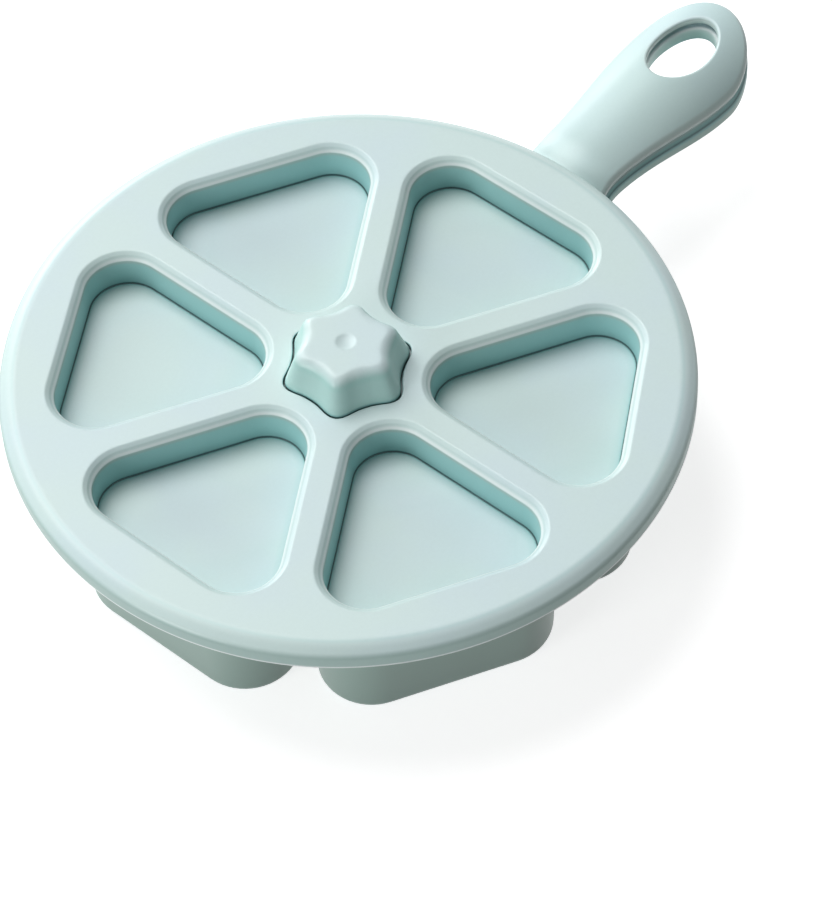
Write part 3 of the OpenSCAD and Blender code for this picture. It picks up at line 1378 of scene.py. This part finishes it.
    def cup(self, place: int) -> Skin:
        """One cup, with a rounded mouth, inner corners and foot, and painted shade at its foot.

        Args:
            place: its number.

        Returns:
            The closed skin.
        """
        inner_low = self.cup_grow(self.wall)
        outer_low = self.cup_grow(0.0) + self.wall
        outer_top = self.cup_grow(self.under_z) + self.wall
        points = [
            (inner_low - self.floor_run, 0.0),
            (outer_low, 0.0),
            (outer_top, self.under_z),
            (outer_top + self.flange, self.under_z),
            (outer_top + self.flange, self.deck_z),
            (self.cup_grow(self.deck_z), self.deck_z),
            (inner_low, self.wall),
            (inner_low - self.floor_run, self.wall),
        ]
        radii = [0, self.foot_r, self.root_r, 0, 0, self.mouth_r, self.foot_r / 2, 0]
        section = profile(points, radii, FINE_STEPS)
        return self.pocket.swept(place, section, toned(section, [self.foot_painted_shade.at(outer_low, 0.0)]))

    def boss_ring(self, z: float, grow: float = 0.0, drop: float = 0.0) -> Loop:
        """The boss's star at a height, which shrinks above the lid, grown and then lowered."""
        scale = 1 - max(0.0, z - self.top_z) * self.boss_draft / self.star.radius
        return at_height(self.star.outline(grow, scale), z - drop)

    def boss_hollow(self) -> List[Loop]:
        """The rings of the boss's hollow.

        Returns:
            The rings, from the middle of its ceiling down to the deck.
        """
        ceiling, bend = self.boss_z - self.wall, self.hollow_r
        rings = [self.boss_ring(ceiling, -self.wall - self.hollow_run)]
        for inset, drop in roll(bend, self.hollow_steps):
            rings.append(self.boss_ring(ceiling, -self.wall - bend + (bend - drop), bend - inset))
        throat = np.linspace(self.top_z + self.throat_h, self.top_z, self.throat_steps + 1)
        rings += [self.boss_ring(z, -self.wall) for z in (*throat, self.deck_z)]
        return rings

    def boss_side(self) -> List[Loop]:
        """The rings of the boss's outside.

        Returns:
            The rings, from the deck up through the lid's opening and over the rounded top.
        """
        gap = np.linspace(self.top_z - self.gap_h, self.top_z, self.gap_steps + 1)
        side = np.linspace(self.top_z, self.boss_z - self.boss_edge, self.boss_steps + 1)[1:]
        rings = [self.boss_ring(z) for z in (self.deck_z, *gap, *side)]
        for inset, drop in reversed(roll(self.boss_edge, self.boss_edge_steps)):
            rings.append(self.boss_ring(self.boss_z - drop, -inset))
        return rings

    def boss_top(self) -> List[Loop]:
        """The rings of the boss's top.

        Returns:
            The rings, from its rounding, which turns into a circle, down the gate's dimple.
        """
        edge = self.boss_ring(self.boss_z, -self.boss_edge)[:, :2]
        hub = circle(self.dimple_d / 2 + self.hub_ring, self.star.count)
        rings = [at_height(edge * (1 - share) + hub * share, self.boss_z) for share in self.hub_shares]
        for share in np.linspace(1.0, self.dimple_middle, self.dimple_steps + 1):
            ring = circle(self.dimple_d / 2 * share, self.star.count)
            rings.append(at_height(ring, self.boss_z - self.dimple_h * (1 - share**2)))
        return rings

    def boss(self) -> Skin:
        """The hollow star boss, drafted above the lid, with painted shade in the gap and painted light
        above it.

        Returns:
            The closed skin.
        """
        skin = Skin()
        rings = self.boss_hollow() + self.boss_side() + self.boss_top()
        rise = np.array([ring[0, 2] for ring in rings]) - self.top_z
        # painted light paling the sides above the lid, and painted shade in the gap
        side = np.interp(rise / MM, self.side_at_mm, self.side_tones)
        shade = np.clip(1.0 - (rise + self.gap_h) / self.gap_fade, 0.0, 1.0)
        skin.loft(rings, side - self.gap_tone * shade)
        skin.cap(rings[0])
        skin.cap(rings[-1])
        return skin

    def grip_top(self, x: np.ndarray, y: np.ndarray) -> np.ndarray:
        """Upper surface of the handle, planed flat to pass under the lid's rim.

        Args:
            x: the station, from the mold's axis.
            y: the distance from the middle.

        Returns:
            The height over each point.
        """
        ramp = self.lip_z + np.maximum(0, x - self.lid_r - self.ramp_from) * self.ramp_slope
        crown = self.handle.top(np.maximum(x, self.lid_r), y)
        return np.minimum(crown - self.handle_step, ramp)

    def grip_low(self, x: np.ndarray, y: np.ndarray) -> np.ndarray:
        """Underside of the handle, which is thicker towards its edges."""
        extra = self.grip_edge * (2 * y / self.handle.paddle_w) ** 2
        return self.grip_top(x, y) - self.grip_t - extra

    def grip(self) -> Skin:
        """The handle's shell, a little wider than the lid's handle.

        Returns:
            The closed skin.
        """
        outline = self.handle.outline(self.deck_r - self.lip_t, self.grip_out)
        faces = (self.handle.hole, self.grip_top, self.grip_low)
        edges = (self.grip_rim, self.grip_lip, self.collar_h, self.collar_w)
        return HandleShell(outline, *faces, *edges).skin()

    def build(self) -> None:
        """Builds and dresses every piece of the tray."""
        self.dress(self.deck(), "deck_skin", "mold_deck")
        for place in range(1, POCKETS + 1):
            self.dress(self.cup(place), f"cup_{place}_skin", f"cup_{place}")
        self.dress(self.boss(), "star_boss_skin", "star_boss")
        self.dress(self.grip(), "tray_handle_skin", "mold_handle")


# ----------------------------------------------------------------------- studio


@dataclass(frozen=True)
class Lamp:
    """A round soft lamp, aimed at the object.

    Attributes:
        name: its name.
        level: how bright it renders white plastic that faces it.
        azimuth: where it stands, in degrees from +X.
        elevation: how high it stands, in degrees.
        distance: how far off it stands.
        size: how wide it is.
    """

    name: str
    level: float
    azimuth: float
    elevation: float
    distance: float
    size: float

    def hang(self, aim: Vector) -> None:
        """Hangs the lamp so that white plastic facing it renders at its level.

        Args:
            aim: the point that it faces.
        """
        data = bpy.data.lights.new(self.name, "AREA")
        data.shape = "DISK"
        data.size = self.size
        data.energy = self.level * (math.pi * self.distance) ** 2
        turn, rise = math.radians(self.azimuth), math.radians(self.elevation)
        flat = math.cos(rise)
        away = Vector((flat * math.cos(turn), flat * math.sin(turn), math.sin(rise)))
        lamp = bpy.data.objects.new(self.name, data)
        lamp.location = aim + away * self.distance
        lamp.rotation_euler = away.to_track_quat("Z", "Y").to_euler()
        bpy.context.scene.collection.objects.link(lamp)


@dataclass
class Studio:
    """A white table, three soft lamps and the camera.

    Attributes:
        reach: half the table's width.
        paper: how much of the lamps' light it gives back.
        lift: how brightly it glows, to the eye alone.
        sky: the even light from all round.
        aim: the point that the lamps face.
        camera_turn: the camera's rotation in degrees.
        clip: how far the camera sees.
    """

    reach: float = 4.0
    paper: float = 0.60
    lift: float = 0.77
    sky: float = 0.15
    lamps: Tuple[Lamp, ...] = (
        Lamp("key", 0.83, 86.0, 57.0, 3.2, 2.6),
        Lamp("window", 0.34, 70.0, 14.0, 2.6, 1.2),
        Lamp("fill", 0.36, 172.0, 14.0, 2.0, 0.8),
    )
    aim: Tuple[float, float, float] = (-0.02, 0.0, 0.03)
    camera_at: Tuple[float, float, float] = (-0.56979, -0.49939, 0.93905)
    camera_turn: Tuple[float, float, float] = (37.8951, 1.6484, -50.2718)
    lens: float = 157.383
    sensor: float = 36.0
    clip: float = 20.0

    def table(self) -> None:
        """The table: white to the eye, and it keeps the soft shadow."""
        mesh = bpy.data.meshes.new("table")
        r = self.reach
        mesh.from_pydata([(-r, -r, 0), (r, -r, 0), (r, r, 0), (-r, r, 0)], [], [(0, 1, 2, 3)])
        table = bpy.data.objects.new("table", mesh)
        bpy.context.scene.collection.objects.link(table)
        made = bpy.data.materials.new("white_table")
        made.use_nodes = True
        graph = Graph(made.node_tree)
        white = (self.paper, self.paper, self.paper, 1.0)
        paper = graph.node("ShaderNodeBsdfDiffuse", None, {"Color": white})
        share = graph.unlit() * self.lift
        glow = graph.node("ShaderNodeEmission", None, {"Color": (1, 1, 1, 1), "Strength": share})
        shown = graph.node("ShaderNodeAddShader", None, {0: paper, 1: glow})
        graph.node("ShaderNodeOutputMaterial", None, {"Surface": shown})
        table.data.materials.append(made)

    def world(self) -> None:
        """Even light from all round, and white where the eye sees past the table."""
        world = bpy.data.worlds.new("studio")
        world.use_nodes = True
        bpy.context.scene.world = world
        graph = Graph(world.node_tree)
        level = self.sky + graph.unlit() * (1.0 - self.sky)
        made = graph.node("ShaderNodeBackground", None, {"Color": (1, 1, 1, 1), "Strength": level})
        graph.node("ShaderNodeOutputWorld", None, {"Surface": made})

    def camera(self) -> None:
        """The camera at the photograph's viewing angle."""
        data = bpy.data.cameras.new("camera")
        data.sensor_width = self.sensor
        data.lens = self.lens
        data.clip_end = self.clip
        camera = bpy.data.objects.new("camera", data)
        camera.location = self.camera_at
        camera.rotation_euler = [math.radians(a) for a in self.camera_turn]
        bpy.context.scene.collection.objects.link(camera)
        bpy.context.scene.camera = camera

    def build(self) -> None:
        """Sets up the table, the light and the camera."""
        self.table()
        self.world()
        for lamp in self.lamps:
            lamp.hang(Vector(self.aim))
        self.camera()
        bpy.context.scene.view_settings.view_transform = "Standard"


def corners(box: Any) -> List[List[float]]:
    """A box's two corners as plain lists."""
    return [[float(value) for value in corner] for corner in box]


def main() -> None:
    """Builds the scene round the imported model."""
    logging.basicConfig(level=logging.INFO, format="%(message)s")
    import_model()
    lid_low, lid_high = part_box("lid_plate")
    axis_x = (lid_low[0] + lid_high[0]) / 2
    radius = (lid_high[1] - lid_low[1]) / 2
    top_z = lid_high[2]
    tip_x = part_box("lid_handle")[1][0] - axis_x
    form = HandleForm(lid_r=radius, tip_x=tip_x, top_z=top_z)
    PressLid(axis_x, radius, top_z, form).build()
    MoldTray(axis_x, radius, top_z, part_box("star_boss")[1][2], form).build()
    Studio().build()


if __name__ == "__main__":
    main()
